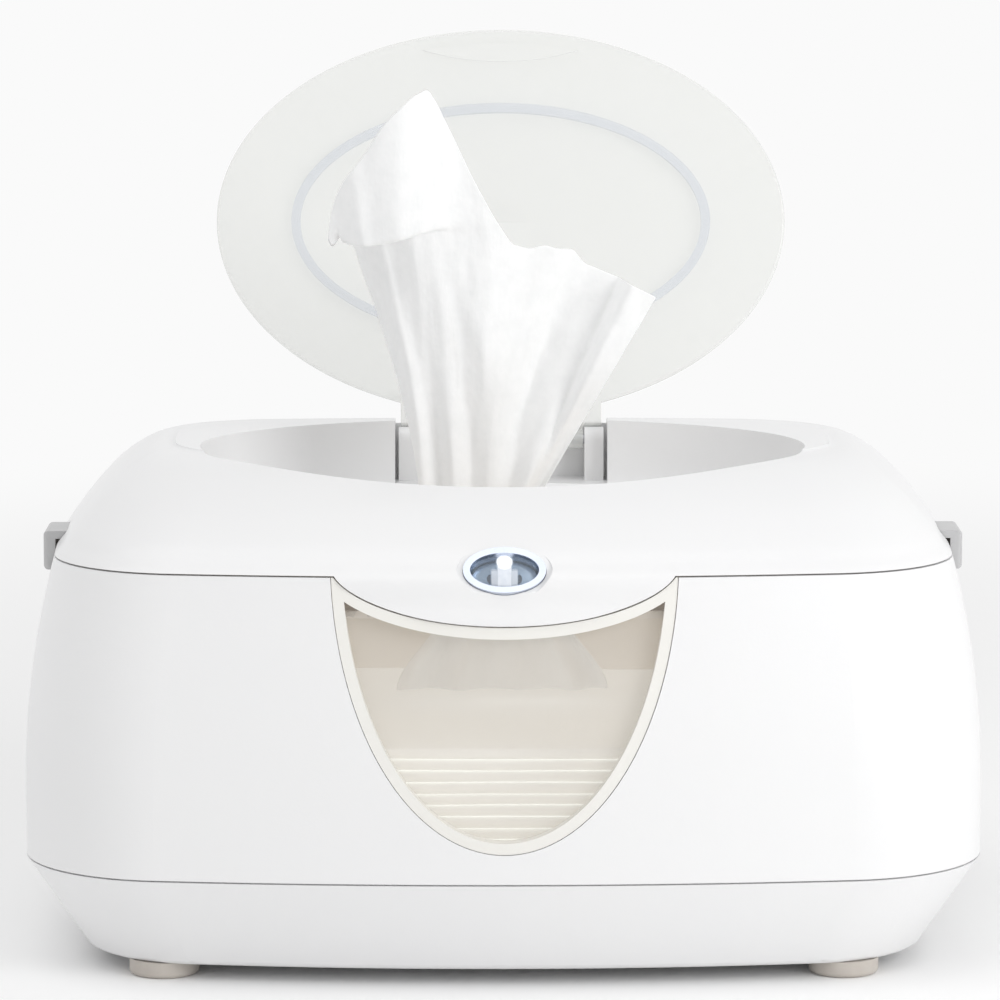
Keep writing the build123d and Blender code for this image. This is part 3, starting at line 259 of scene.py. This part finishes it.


# lit is a painted glow of a plastic, off here and turned up per look
plasticBase = {
    "cloud": 0.06, "skin": 0.0009, "skinDepth": 0.00002, "roughSpread": 0.10,
    "coat": 0.15, "coatRoughness": 0.12, "lit": 0.0,
}
finishLooks = {
    "white_shell": (mouldedPlastic, plasticBase | {
        "colour": (240, 240, 240), "shade": (236, 236, 237), "roughness": 0.36,
    }),
    # the tub's lit is painted light: a glow that brightens its shaded inside, standing in for light
    # through the plastic
    "tub_white": (mouldedPlastic, plasticBase | {
        "colour": (230, 223, 214), "shade": (224, 216, 206), "roughness": 0.42,
        "cloud": 0.03, "lit": 0.10,
    }),
    "cream_trim": (mouldedPlastic, plasticBase | {
        "colour": (240, 239, 235), "shade": (235, 233, 227), "roughness": 0.38, "cloud": 0.03,
    }),
    "latch_grey": (mouldedPlastic, plasticBase | {
        "colour": (196, 196, 196), "shade": (184, 184, 185), "roughness": 0.45, "cloud": 0.01,
    }),
    "black_plastic": (mouldedPlastic, plasticBase | {
        "colour": (34, 34, 35), "shade": (26, 26, 27), "roughness": 0.5, "cloud": 0.01,
    }),
    "wire_insulation": (mouldedPlastic, plasticBase | {
        "colour": (205, 203, 196), "shade": (192, 190, 182), "roughness": 0.5, "cloud": 0.01,
    }),
    "element_foil": (mouldedPlastic, plasticBase | {
        "colour": (206, 132, 52), "shade": (180, 106, 36), "roughness": 0.3, "cloud": 0.004,
    }),
    "clear_lid": (clearPlastic, {
        "colour": (243, 244, 241), "shade": (239, 240, 237), "haze": 0.08,
        "frost": 0.0012, "frostDepth": 0.00001, "cover": 0.42, "coverSpread": 0.05,
        "roughness": 0.24, "roughSpread": 0.1, "bend": 1.49, "coat": 0.25,
    }),
    "clear_window": (clearPlastic, {
        "colour": (238, 233, 226), "shade": (232, 226, 218), "haze": 0.05,
        "frost": 0.002, "frostDepth": 0.00001, "cover": 0.26, "coverSpread": 0.06,
        "roughness": 0.12, "roughSpread": 0.1, "bend": 1.49, "coat": 0.4,
    }),
    "clear_lens": (clearPlastic, {
        "colour": (196, 206, 222), "shade": (180, 192, 210), "haze": 0.006,
        "frost": 0.0006, "frostDepth": 0.000004, "cover": 0.14, "coverSpread": 0.06,
        "roughness": 0.05, "roughSpread": 0.1, "bend": 1.49, "coat": 0.8,
    }),
    "bezel_chrome": (metal, {
        "colour": (206, 211, 222), "shade": (188, 195, 210), "cloud": 0.006,
        "line": 0.0008, "stretch": (1, 6, 6), "lineDepth": 0.000004,
        "roughness": 0.28, "roughSpread": 0.12,
    }),
    "steel": (metal, {
        "colour": (196, 197, 200), "shade": (172, 174, 178), "cloud": 0.004,
        "line": 0.0006, "stretch": (1, 8, 8), "lineDepth": 0.000006,
        "roughness": 0.32, "roughSpread": 0.15,
    }),
    "spring_steel": (metal, {
        "colour": (178, 180, 184), "shade": (150, 152, 158), "cloud": 0.002,
        "line": 0.0003, "stretch": (6, 6, 1), "lineDepth": 0.000004,
        "roughness": 0.28, "roughSpread": 0.12,
    }),
    "aluminium": (metal, {
        "colour": (208, 209, 212), "shade": (190, 192, 196), "cloud": 0.02,
        "line": 0.0007, "stretch": (0.3, 8, 8), "lineDepth": 0.000006,
        "roughness": 0.36, "roughSpread": 0.18,
    }),
    "silicone": (softRubber, {
        "colour": (224, 229, 238), "shade": (216, 223, 234), "cloud": 0.01,
        "skin": 0.0007, "skinDepth": 0.000008, "cover": 0.22, "sheen": 0.2,
        "roughness": 0.42, "roughSpread": 0.15,
    }),
    "foot_rubber": (softRubber, {
        "colour": (206, 200, 192), "shade": (186, 178, 170), "cloud": 0.005,
        "skin": 0.0006, "skinDepth": 0.00002, "cover": 1.0, "sheen": 0.2,
        "roughness": 0.6, "roughSpread": 0.15,
    }),
    # the wipe's lit is painted light: a faint glow that brightens its shaded folds
    "wipe": (wovenless, {
        "colour": (252, 252, 252), "shade": (247, 248, 248), "mat": 0.004,
        "fibre": 0.0009, "fibreStretch": (1, 1, 0.25), "fibreDepth": 0.00012, "fibreStrength": 0.7,
        "dimple": 0.0016, "dimpleDepth": 0.00009, "dimpleStrength": 0.6,
        "cover": 0.96, "coverSpread": 0.06, "lit": 0.02, "sheen": 0.15,
        "roughness": 0.75, "roughSpread": 0.2,
    }),
    "circuit_board": (circuitBoard, {
        "colour": (36, 92, 56), "shade": (74, 138, 88),  # the mask, and the copper under it
        "track": 0.003, "trackStretch": (1, 2.4, 1), "trackLow": 0.25, "trackHigh": 0.4,
        "trackDepth": 0.00003, "roughness": 0.35, "roughSpread": 0.15,
    }),
}
finishes = {slot: make(slot, look) for slot, (make, look) in finishLooks.items()}
for row in frame["record"]["subparts"]:
    for slot in cadNodes[row["node"]].material_slots:
        slot.material = finishes[row["material_slot"]]
print("finishes:", len(finishes))


# Light: the lamp, and the lens that shows it, with a painted highlight glowing on its dome

litLamp = {
    "colour": (255, 255, 255), "shade": (236, 240, 250), "light": (236, 242, 255),
    "spot": 0.002, "strength": 1.2, "roughness": 0.2, "roughSpread": 0.1,
}
lampLens = {
    "middleZ": 0.1013, "rise": 0.7373,  # height of its middle, and height gained per length up it
    "domeUp": 0.0024, "domeRadius": 0.0019, "domeFrom": 0.5, "domeTo": 1.4,
    "neckHalf": 0.0019, "neckEdge": 0.0004, "neckTop": 0.002, "neckSoft": 0.001,
    "seatHalf": 0.0034, "seatEdge": 0.0005, "seatTop": 0.0004, "seatSoft": 0.0006,
    "seatShare": 0.7, "figureCover": 0.86, "cover": 0.16,
    "glass": (170, 184, 200), "colour": (236, 240, 246), "shade": (206, 214, 226),
    # colour and strength of the painted highlight that glows on the dome
    "light": (255, 255, 255), "strength": 0.9,
    "grain": 0.0012, "grainDepth": 0.00001, "roughness": 0.06, "roughSpread": 0.05, "coat": 0.8,
}


def glowingLamp(name, look):
    finish = Finish(name)
    glow = finish.grain(look["spot"], detail=2.0)
    return finish.surface({
        "Base Color": finish.tint(glow, look),
        "Roughness": look["roughness"] + glow * look["roughSpread"],
        "Emission Color": finish.blend(glow, paint(*look["light"]), paint(*look["colour"])),
        "Emission Strength": look["strength"],
    })


def clearLens(name, look):  # shows the lamp as a dome on a neck and a seat, spread wide; the dome is a painted highlight that glows on the lens
    finish = Finish(name)
    across = abs(finish.axis(0))
    up = (finish.axis(2) - look["middleZ"]) * (1 / look["rise"])
    above = up - look["domeUp"]
    domeArea = look["domeRadius"] ** 2
    fade = (domeArea * look["domeFrom"], domeArea * look["domeTo"])
    dome = 1 - finish.span(across * across + above * above, *fade)
    neckSide = finish.below(across, look["neckHalf"], look["neckEdge"])
    neck = neckSide * finish.below(up, look["neckTop"], look["neckSoft"])
    seatSide = finish.below(across, look["seatHalf"], look["seatEdge"])
    seat = seatSide * finish.below(up, look["seatTop"], look["seatSoft"])
    figure = dome.most(neck.most(seat * look["seatShare"]))
    grain = finish.grain(look["grain"])
    return finish.surface({
        "Base Color": finish.blend(figure, paint(*look["glass"]), finish.tint(grain, look)),
        "Roughness": look["roughness"] + grain * look["roughSpread"],
        "Alpha": look["cover"] + figure * (look["figureCover"] - look["cover"]),
        # painted highlight: the lens itself glows over the lamp's dome
        "Emission Color": finish.blend(dome, paint(0, 0, 0), paint(*look["light"])),
        "Emission Strength": look["strength"],
        "Coat Weight": look["coat"],
        "Normal": finish.bump(grain, look["grainDepth"]),
    })


lightFinishes = {
    "lamp": glowingLamp("litLamp", litLamp),
    "light_button": clearLens("lampLens", lampLens),
}
for node, finish in lightFinishes.items():
    for slot in cadNodes[node].material_slots:
        slot.material = finish
print("lamp and lens")


# Piece helpers

def settle(mesh, name):  # mesh data from a bmesh, which ends here
    data = bpy.data.meshes.new(name)
    mesh.to_mesh(data)
    mesh.free()
    return data


def show(name, data):  # an object in the scene
    thing = bpy.data.objects.new(name, data)
    bpy.context.scene.collection.objects.link(thing)
    return thing


def keep(mesh, name, finish, body):  # a bmesh becomes a finished piece that rides on a body
    data = settle(mesh, name)
    piece = show(name, data)
    data.materials.append(finish)
    data.shade_smooth()
    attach(piece, body)
    return piece


def ease(value):  # 0 to 1 with soft ends
    value = max(0.0, min(1.0, value))
    return value * value * (3 - 2 * value)


def along(stops, place, soft=False):  # a value read from (place, value) pairs
    for (low, first), (high, second) in zip(stops, stops[1:]):
        if place <= high:
            share = max(0.0, (place - low) / (high - low))
            return first + (second - first) * (ease(share) if soft else share)
    return stops[-1][1]


def ripple(across, up, pattern):  # smooth noise from -1 to 1
    return noise.noise(Vector((across, up, pattern)))


# Wipe drawn up through the slot: lengths in mm, share is 0 at its right edge and 1 at its left

drawnWipe = {
    "across": 96, "up": 120,
    "rightTop": 38.9, "leftTop": -41.6,  # the ends of its upper edge
    "rightNeck": 10.5, "leftNeck": -21.1, "neckZ": 109.0,
    "slotHalfWidth": 15.5, "slotZ": 78.5, "startHalfWidth": 27.0, "startZ": 57.5,
    "lowerRows": 0.27,  # share of the rows that lie below the neck
    "bow": 0.35,  # the left side spreads later than the right by this power
    # height of the upper edge by its place from left to right: flap, rolled fold and hem
    "topEdge": [
        (-41.6, 180.5), (-40.5, 187.0), (-38.0, 191.5), (-30.0, 202.0), (-22.0, 209.5),
        (-18.4, 211.0), (-15.5, 206.5), (-12.0, 199.5), (-8.0, 190.5), (-3.0, 180.0),
        (2.5, 171.3), (7.0, 170.8), (11.3, 171.2), (18.0, 169.5), (21.0, 165.8),
        (32.0, 161.6), (38.9, 157.8),
    ],
    # depth by share, from the right hem to the left fold
    "depth": [
        (0.0, 0.5), (0.075, -3.5), (0.12, 5.0), (0.2, 6.0), (0.34, -1.5),
        (0.5, -5.0), (0.66, -3.5), (0.8, -4.5), (0.92, 0.0), (1.0, 7.5),
    ],
    "middleY": 6.0, "slotY": 6.3,
    "depthSoon": 1.6, "slotSoon": 3,  # how soon the depth grows and the slot's place is left
    "valleyFrom": 0.12, "valleyGrow": 0.20,  # the valley beside the hem, wider towards the neck
    "pleats": 4.0, "pleatNeck": 2.4, "pleatTop": 0.35,
    "pleatSoon": 1.15, "pleatFade": 1.5,
    "pleatStray": 0.03, "strayWaves": (5, 2), "pleatVary": 0.25, "varyWaves": 9,
    # the flap that flops forward over the left of the column
    "foldZ": 174.5, "foldLeast": 3, "foldX": -2, "foldReach": 30, "foldWidth": 0.055,
    "foldForward": 6.5, "foldDip": 8.0, "foldAside": 2.5, "foldFade": 6,
    # depth and waves of soft wrinkles, fine crinkles, swaying sides and an uneven upper edge
    "wrinkle": 1.6, "wrinkleWaves": (5, 3), "wrinkleSoon": 2,
    "crinkle": 0.45, "crinkleWaves": (19, 9), "crinkleSlant": 2, "crinkleNeck": 0.4,
    "sway": 0.5, "swayWaves": (4, 8),
    "fray": 0.9, "frayWaves": 14, "frayRows": 0.1,
    "thickness": 0.35,
    "pressZ": 100.0, "pressed": 0.13,  # on the warmer, a closing lid folds the wipe down towards this height
    "flat": (0.110, 0.150), "cut": 0.0099,
}


def wipeCourse(w, share, rise):  # x, z, the share above the neck and the upper edge's height
    xTop = w["rightTop"] - (w["rightTop"] - w["leftTop"]) * share
    zTop = along(w["topEdge"], xTop)
    xNeck = w["rightNeck"] + (w["leftNeck"] - w["rightNeck"]) * share
    if rise >= w["lowerRows"]:
        fan = (rise - w["lowerRows"]) / (1 - w["lowerRows"])
        x = xNeck + (xTop - xNeck) * fan ** (1.0 + w["bow"] * share)
        return x, w["neckZ"] + (zTop - w["neckZ"]) * fan, fan, zTop
    drop = rise / w["lowerRows"]
    z = w["startZ"] + (w["neckZ"] - w["startZ"]) * drop
    side = 1 - 2 * share
    slotShare = (w["slotZ"] - w["startZ"]) / (w["neckZ"] - w["startZ"])
    if drop < slotShare:
        narrowing = (w["slotHalfWidth"] - w["startHalfWidth"]) * ease(drop / slotShare)
        return side * (w["startHalfWidth"] + narrowing), z, 0.0, zTop
    xSlot = side * w["slotHalfWidth"]
    return xSlot + (xNeck - xSlot) * ease((drop - slotShare) / (1 - slotShare)), z, 0.0, zTop


def wipeDepth(w, share, rise, fan):  # y, from the broad folds to the fine crinkles
    valleyEnd = w["valleyFrom"]
    spread = share
    if share > valleyEnd:
        grown = w["valleyGrow"] * (1 - fan) * (1 - share)
        spread = valleyEnd + max(0.0, share - valleyEnd - grown)
    y = w["middleY"] + along(w["depth"], spread, soft=True) * ease(fan * w["depthSoon"])
    y += (w["slotY"] - w["middleY"]) * (1 - ease(fan * w["slotSoon"]))
    fade = (1 - ease(fan * w["pleatSoon"])) ** w["pleatFade"]
    gather = w["pleatTop"] + (w["pleatNeck"] - w["pleatTop"]) * fade
    across, up = w["strayWaves"]
    uneven = share + w["pleatStray"] * math.sin(across * share + up * rise)
    vary = 1 - w["pleatVary"] + w["pleatVary"] * math.sin(w["varyWaves"] * share + 1)
    y += gather * math.sin(2 * math.pi * w["pleats"] * uneven) * vary
    across, up = w["wrinkleWaves"]
    loose = ease(fan * w["wrinkleSoon"])
    y += w["wrinkle"] * ripple(share * across, rise * up, 0.3) * loose
    across, up = w["crinkleWaves"]
    fine = ripple(share * across + rise * w["crinkleSlant"], rise * up, 4.1)
    return y + w["crinkle"] * fine * (w["crinkleNeck"] + (1 - w["crinkleNeck"]) * loose)


def shapeWipe(w):
    mesh = bmesh.new()
    bmesh.ops.create_grid(mesh, x_segments=w["across"], y_segments=w["up"], size=0.5)
    for vert in mesh.verts:
        share, rise = vert.co.x + 0.5, vert.co.y + 0.5
        x, z, fan, zTop = wipeCourse(w, share, rise)
        y = wipeDepth(w, share, rise, fan)
        if fan > 0 and zTop > w["foldZ"] + w["foldLeast"]:
            foldFan = (w["foldZ"] - w["neckZ"]) / (zTop - w["neckZ"])
            past = (fan - foldFan) / w["foldWidth"]
            flop = ease((w["foldX"] - x) / w["foldReach"]) * ease(past)
            y -= w["foldForward"] * flop
            z -= w["foldDip"] * flop * (1 - ease((past - 1) / w["foldFade"]))
            x -= w["foldAside"] * flop * (1 - ease((past - 2) / w["foldFade"]))
        across, up = w["swayWaves"]
        x += w["sway"] * ripple(share * across, rise * up, 9.0) * fan
        top = ease((fan - 1 + w["frayRows"]) / w["frayRows"])
        z += w["fray"] * ripple(share * w["frayWaves"], 2.0, 1.0) * top
        vert.co = Vector((x, y, z)) * mm
    bmesh.ops.recalc_face_normals(mesh, faces=mesh.faces)
    return mesh


wipePiece = keep(shapeWipe(drawnWipe), "drawnWipe", finishes["wipe"], "cover")
wall = wipePiece.modifiers.new("Thickness", "SOLIDIFY")
wall.thickness = drawnWipe["thickness"] * mm
wall.offset = 0
smooth = wipePiece.modifiers.new("Smooth", "SUBSURF")
smooth.levels = smooth.render_levels = 1
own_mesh(wipePiece)
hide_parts("dispensed_wipe")
print("drawn wipe")


# Folded wipes in the tub, lengths in mm

wipeLayers = {
    "count": 15, "gap": 0.06, "inset": 0.8,
    "corner": 13.0, "cornerCuts": 6, "edge": 1.1, "edgeCuts": 4,
    "rows": 24,  # rows across, so that a layer can sway
    "shift": 0.9, "seed": 1, "wave": 0.5, "waveLength": 38.0,
    "edgeWaveLength": 30.0, "edgeShare": 0.6,  # of the shift
    # lit here is painted light: the stacked wipes glow to brighten them in the shaded tub
    "look": finishLooks["wipe"][1] | {
        "cover": 1.0, "coverSpread": 0.0, "lit": 0.30,
        "colour": (248, 249, 246), "shade": (241, 242, 239),
    },
}


def shapeLayer(s, size):  # one folded wipe about the origin
    layer = bmesh.new()
    bmesh.ops.create_cube(layer, size=1)
    bmesh.ops.scale(layer, vec=size, verts=layer.verts)
    upright = [edge for edge in layer.edges
               if abs(edge.verts[0].co.z - edge.verts[1].co.z) > size.z / 2]
    bmesh.ops.bevel(layer, geom=upright, offset=s["corner"] * mm, segments=s["cornerCuts"],
                    profile=0.5, affect="EDGES", material=-1)
    rim = [edge for edge in layer.edges
           if abs(edge.link_faces[0].normal.z - edge.link_faces[1].normal.z) > 0.5]
    bmesh.ops.bevel(layer, geom=rim, offset=s["edge"] * mm, segments=s["edgeCuts"],
                    profile=0.5, affect="EDGES", material=-1)
    for cut in range(1, s["rows"]):
        at = -size.x / 2 + size.x * cut / s["rows"]
        parts = layer.verts[:] + layer.edges[:] + layer.faces[:]
        bmesh.ops.bisect_plane(layer, geom=parts, plane_co=(at, 0, 0), plane_no=(1, 0, 0))
    return layer


def shapeLayers(s):
    low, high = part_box("wipe_stack")
    rise = (high.z - low.z) / s["count"]
    inset, gap = s["inset"] * mm, s["gap"] * mm
    size = Vector((high.x - low.x - 2 * inset, high.y - low.y - 2 * inset, rise - gap))
    stack = bmesh.new()
    noise.seed_set(s["seed"])  # without a seed the layers' slips differ from run to run
    for index in range(s["count"]):
        layer = shapeLayer(s, size)
        for vert in layer.verts:
            place = Vector((vert.co.x, vert.co.y, index * rise * 2)) / (s["waveLength"] * mm)
            edgeSway = ripple(vert.co.x / (s["edgeWaveLength"] * mm), index * 1.3, 7.0)
            vert.co.z += noise.noise(place) * s["wave"] * mm
            vert.co.y += edgeSway * s["shift"] * mm * s["edgeShare"]
        slip = noise.noise_vector(Vector((index * 1.7, 3.1, 0.4))) * s["shift"] * mm
        middle = (low + high) / 2
        spot = Vector((middle.x + slip.x, middle.y + slip.y, low.z + rise * (index + 0.5)))
        bmesh.ops.translate(layer, verts=layer.verts, vec=spot)
        data = settle(layer, "layer")
        stack.from_mesh(data)
        bpy.data.meshes.remove(data)
    bmesh.ops.recalc_face_normals(stack, faces=stack.faces)
    return stack


stackFinish = wovenless("foldedWipes", wipeLayers["look"])
stackPiece = keep(shapeLayers(wipeLayers), "foldedWipes", stackFinish, "body")
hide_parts("wipe_stack")
print("folded wipes")


# Reflector behind the lens, lengths in mm

reflector = {
    "tilt": 42.5, "y": -78.9, "z": 101.1,  # the light's plane
    # half width, half height and depth, from the rim to the seat of the lamp
    "rings": [(7.9, 4.6, -2.9), (6.4, 3.7, -3.2), (4.4, 2.7, -3.5), (2.7, 2.1, -4.1)],
    "wall": 0.25, "segments": 64,
    "look": {
        "colour": (166, 182, 198), "shade": (140, 158, 178), "cloud": 0.004,
        "line": 0.0006, "stretch": (1, 4, 4), "lineDepth": 0.000004,
        "roughness": 0.3, "roughSpread": 0.15,
    },
}


def shapeReflector(r):
    mesh = bmesh.new()
    rings = []
    for halfWidth, halfHeight, depth in r["rings"]:
        ring = bmesh.ops.create_circle(mesh, cap_ends=False, radius=1, segments=r["segments"])
        made = ring["verts"]
        bmesh.ops.scale(mesh, verts=made, vec=(halfWidth * mm, halfHeight * mm, 1))
        bmesh.ops.translate(mesh, verts=made, vec=(0, 0, depth * mm))
        rings.append([edge for edge in mesh.edges if edge.verts[0] in made])
    for outer, inner in zip(rings, rings[1:]):
        bmesh.ops.bridge_loops(mesh, edges=outer + inner)
    bmesh.ops.recalc_face_normals(mesh, faces=mesh.faces)
    bmesh.ops.solidify(mesh, geom=mesh.faces[:], thickness=r["wall"] * mm)
    lean = Matrix.Rotation(math.radians(90 - r["tilt"]), 4, "X")
    place = Matrix.Translation(Vector((0, r["y"], r["z"])) * mm)
    bmesh.ops.transform(mesh, matrix=place @ lean, verts=mesh.verts)
    return mesh


reflectorFinish = metal("reflector", reflector["look"])
keep(shapeReflector(reflector), "lightReflector", reflectorFinish, "cover")
print("reflector")


# Stage: pale floor, soft light and the camera

studio = {
    "floorRadius": 9.0, "floorColour": (251, 251, 251), "floorShade": (250, 250, 250),
    "floorCloud": 0.9, "floorRoughness": 0.9, "floorGloss": 0.1,
    "backColour": (250, 250, 250), "sky": 0.64,
    "fadeStart": 0.16, "fadeEnd": 0.9,  # radii between which the floor turns into the backdrop
    "key": {"power": 2.0, "place": (0.55, -0.50, 0.35), "aim": (0, 0, 0.08), "size": 0.45},
    "fill": {"power": 0.70, "azimuth": -75, "height": 70, "spread": 60},
}


def toward(azimuth, height):  # a direction round the object, in degrees from its front
    turn, rise = math.radians(azimuth), math.radians(height)
    flat = math.cos(rise)
    return Vector((math.sin(turn) * flat, -math.cos(turn) * flat, math.sin(rise)))


def faceFrom(thing, side):  # a light or camera looks back from that side
    thing.rotation_euler = side.to_track_quat("Z", "Y").to_euler()


def shapeFloor(s):
    mesh = bmesh.new()
    bmesh.ops.create_circle(mesh, cap_ends=True, segments=96, radius=s["floorRadius"])
    floor = show("floor", settle(mesh, "floor"))
    finish = Finish("floorPaint")
    cloud = finish.grain(s["floorCloud"], detail=2.0)
    tone = finish.blend(cloud, paint(*s["floorColour"]), paint(*s["floorShade"]))
    plain = finish.add("ShaderNodeBsdfPrincipled", None, {
        "Base Color": tone,
        "Roughness": s["floorRoughness"],
        "Specular IOR Level": s["floorGloss"],
    })
    far = finish.add("ShaderNodeEmission", None, {"Color": paint(*s["backColour"])})
    reach = finish.axis(0) * finish.axis(0) + finish.axis(1) * finish.axis(1)
    fade = finish.span(reach, s["fadeStart"] ** 2, s["fadeEnd"] ** 2) * finish.backdropRays()
    mix = finish.add("ShaderNodeMixShader", None, {0: fade, 1: plain, 2: far})
    finish.add("ShaderNodeOutputMaterial", None, {0: mix})
    floor.data.materials.append(finish.material)


def addSun(name, s):
    lamp = bpy.data.lights.new(name, "SUN")
    lamp.energy, lamp.angle = s["power"], math.radians(s["spread"])
    faceFrom(show(name, lamp), toward(s["azimuth"], s["height"]))


def addPanel(name, s):
    lamp = bpy.data.lights.new(name, "AREA")
    lamp.energy, lamp.shape, lamp.size = s["power"], "DISK", s["size"]
    panel = show(name, lamp)
    panel.location = s["place"]
    faceFrom(panel, Vector(s["place"]) - Vector(s["aim"]))


def lightWorld(s):
    world = bpy.data.worlds.new("studio")
    bpy.context.scene.world = world
    world.use_nodes = True
    sky = Graph(world.node_tree)
    lit = sky.add("ShaderNodeBackground", None, {"Color": (1, 1, 1, 1), "Strength": s["sky"]})
    seen = sky.add("ShaderNodeBackground", None, {"Color": paint(*s["backColour"])})
    mix = sky.add("ShaderNodeMixShader", None, {0: sky.backdropRays(), 1: lit, 2: seen})
    sky.add("ShaderNodeOutputWorld", None, {0: mix})


shapeFloor(studio)
addPanel("keyLight", studio["key"])
addSun("fillLight", studio["fill"])
lightWorld(studio)

view = {
    "distance": 1.300, "aimZ": 0.100, "height": 8.3, "azimuth": -0.35,
    "lens": 185.3, "sensor": 36, "shiftX": -0.0025, "shiftY": 0.028,
}
lens = bpy.data.cameras.new("camera")
lens.lens, lens.sensor_width = view["lens"], view["sensor"]
lens.shift_x, lens.shift_y = view["shiftX"], view["shiftY"]
camera = show("camera", lens)
back = toward(view["azimuth"], view["height"])
camera.location = Vector((0, 0, view["aimZ"])) + back * view["distance"]
faceFrom(camera, back)
bpy.context.scene.camera = camera
bpy.context.scene.view_settings.view_transform = "Standard"
print("stage and camera")
